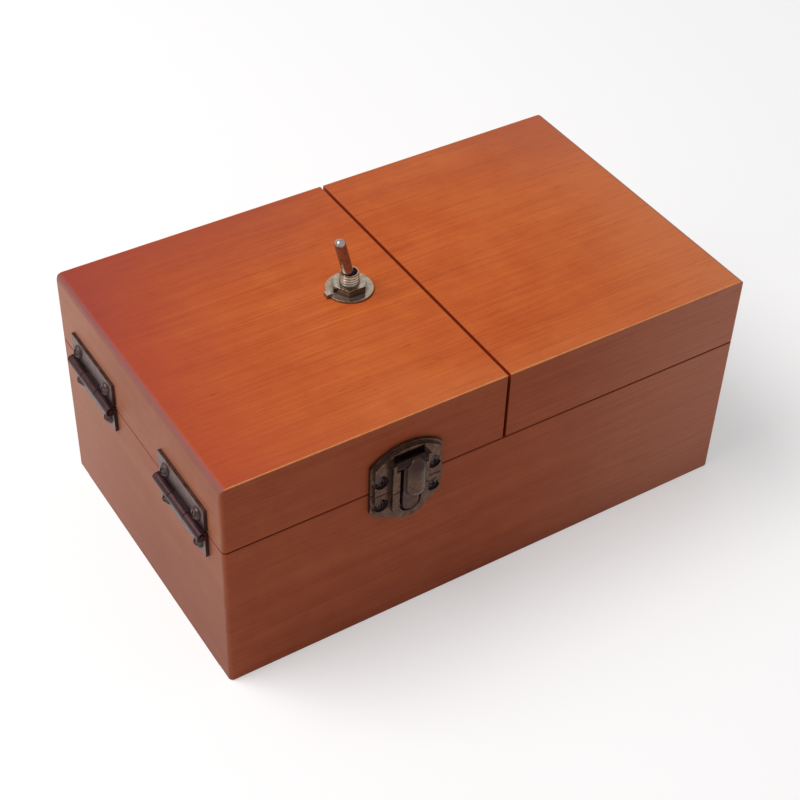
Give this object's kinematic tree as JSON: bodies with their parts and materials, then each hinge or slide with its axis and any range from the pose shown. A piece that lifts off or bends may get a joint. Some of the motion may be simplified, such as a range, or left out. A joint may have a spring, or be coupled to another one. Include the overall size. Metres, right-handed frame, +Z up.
{
  "type": "switch box with split lid",
  "caption": "Wooden box with a split hinged lid, a toggle switch on top and an inner arm that comes out under one lid and pushes the toggle back.",
  "frame": {"origin": "centre of the box's bottom face", "axes": "+X along the box to the right, with the arm's lid at +X; +Y to the back, with the latch at -Y; +Z up"},
  "size_m": [0.1556, 0.0944, 0.0817],
  "materials": {
    "wood_front": "satin stain, dark red-brown",
    "wood_end": "satin stain, brown",
    "wood_top": "satin stain, orange-brown, redder to the edges",
    "plain_wood": "bare plywood",
    "bronze": "antique bronze plate",
    "bronze_pin": "antique bronze",
    "bronze_screw": "antique bronze",
    "knob_brass": "worn brass",
    "nickel": "nickel plate",
    "steel": "zinc-plated",
    "tin": "tinned",
    "switch_black": "moulded",
    "yellow_plastic": "moulded",
    "white_plastic": "moulded",
    "cell_sleeve": "printed sleeve, plain",
    "lead_red": "pvc"
  },
  "bodies": {
    "base": {"base_front": "wood_front", "base_back": "wood_front", "base_left": "wood_end", "base_right": "wood_end", "base_floor": "plain_wood", "left_base_leaves": "bronze", "left_hinge_pins": "bronze_pin", "left_base_screws": "bronze_screw", "right_base_leaves": "bronze", "right_hinge_pins": "bronze_pin", "right_base_screws": "bronze_screw", "latch_lower": "bronze", "latch_lower_screws": "bronze_screw", "motor_plate": "plain_wood", "motor_cleat": "plain_wood", "cleat_screws": "steel", "gearbox_front": "yellow_plastic", "gearbox_back": "yellow_plastic", "motor_can": "steel", "motor_cap": "white_plastic", "motor_strap": "white_plastic", "motor_tabs": "tin", "motor_screws": "steel", "motor_nuts": "steel", "limit_body": "switch_black", "limit_lugs": "tin", "limit_screws": "steel", "cell_holder": "switch_black", "cells": "cell_sleeve", "cell_contacts": "tin", "leads": "lead_red"},
    "left_lid": {"left_lid_top": "wood_top", "left_lid_front": "wood_front", "left_lid_back": "wood_front", "left_lid_end": "wood_end", "left_lid_leaves": "bronze", "left_lid_screws": "bronze_screw", "latch_upper": "bronze", "latch_pin": "bronze_pin", "latch_upper_screws": "bronze_screw", "toggle_body": "switch_black", "toggle_bushing": "nickel", "toggle_lugs": "tin", "toggle_washer": "nickel", "toggle_nut": "nickel", "toggle_pin": "nickel"},
    "right_lid": {"right_lid_top": "wood_top", "right_lid_front": "wood_front", "right_lid_back": "wood_front", "right_lid_end": "wood_end", "right_lid_leaves": "bronze", "right_lid_screws": "bronze_screw"},
    "tongue": {"latch_tongue": "bronze", "latch_knob": "knob_brass"},
    "toggle": {"toggle_lever": "nickel"},
    "arm": {"arm": "plain_wood", "arm_shaft": "white_plastic", "arm_screw": "steel"},
    "limit": {"limit_lever": "steel"}
  },
  "joints": [
    {"name": "left_lid_hinge", "type": "hinge", "parent": "base", "child": "left_lid", "pos_m": [-0.0765, 0, 0.04515], "axis": [0, -1, 0], "range_deg": [0, 110]},
    {"name": "latch_swing", "type": "hinge", "parent": "left_lid", "child": "tongue", "pos_m": [-0.0268, -0.0469, 0.05335], "axis": [-1, 0, 0], "range_deg": [0, 100]},
    {"name": "toggle_throw", "type": "hinge", "parent": "left_lid", "child": "toggle", "pos_m": [-0.0141, 0.0026, 0.0692], "axis": [0, 1, 0], "range_deg": [0, 28]},
    {"name": "arm_swing", "type": "hinge", "parent": "base", "child": "arm", "pos_m": [0.008, 0, 0.033], "axis": [0, -1, 0], "range_deg": [0, 120]},
    {"name": "right_lid_hinge", "type": "hinge", "parent": "base", "child": "right_lid", "pos_m": [0.0765, 0, 0.04515], "axis": [0, 1, 0], "range_deg": [0, 36]},
    {"name": "limit_lever_press", "type": "hinge", "parent": "base", "child": "limit", "pos_m": [0.0048, 0.0034, 0.0169], "axis": [0, 1, 0], "range_deg": [0, 5], "stiffness_Nm_per_rad": 0.01, "springref_deg": -11.46}
  ],
  "couplings": [
    {"joint": "right_lid_hinge", "follows": "arm_swing", "ratio": 0.3}
  ]
}
